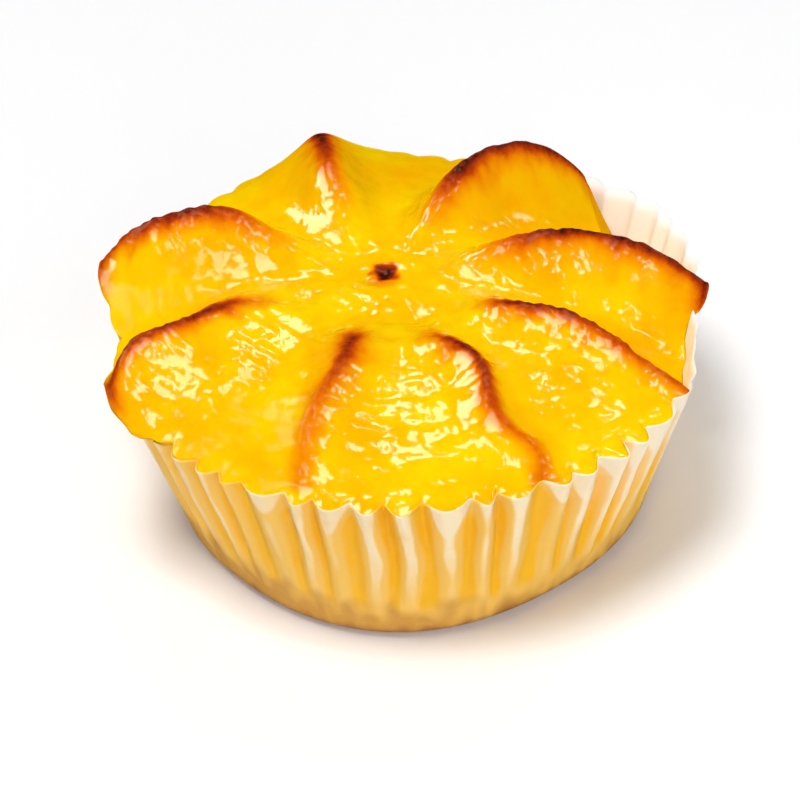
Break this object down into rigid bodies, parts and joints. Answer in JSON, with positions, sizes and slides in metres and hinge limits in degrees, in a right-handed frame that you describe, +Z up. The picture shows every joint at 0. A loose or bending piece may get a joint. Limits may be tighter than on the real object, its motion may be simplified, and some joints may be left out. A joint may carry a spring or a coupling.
{
  "type": "sweet cheese tartlet in a paper case",
  "caption": "Baked sweet cheese tartlet: a glazed curd filling with pinched, browned ridges round a burnt centre, in a pleated paper case that it fills and partly overhangs.",
  "frame": {"origin": "centre of the paper case's flat underside", "axes": "+Z up out of the tartlet's top, -Y towards the side that faces the viewer, +X to the viewer's right"},
  "size_m": [0.068, 0.0683, 0.0335],
  "materials": {
    "filling": "egg-washed and baked, glossy yellow, browned along the ridges",
    "case": "pleated baking paper, stained with fat where the filling touches it"
  },
  "bodies": {
    "root": {"cheese_filling": "filling", "paper_case": "case"}
  },
  "joints": []
}
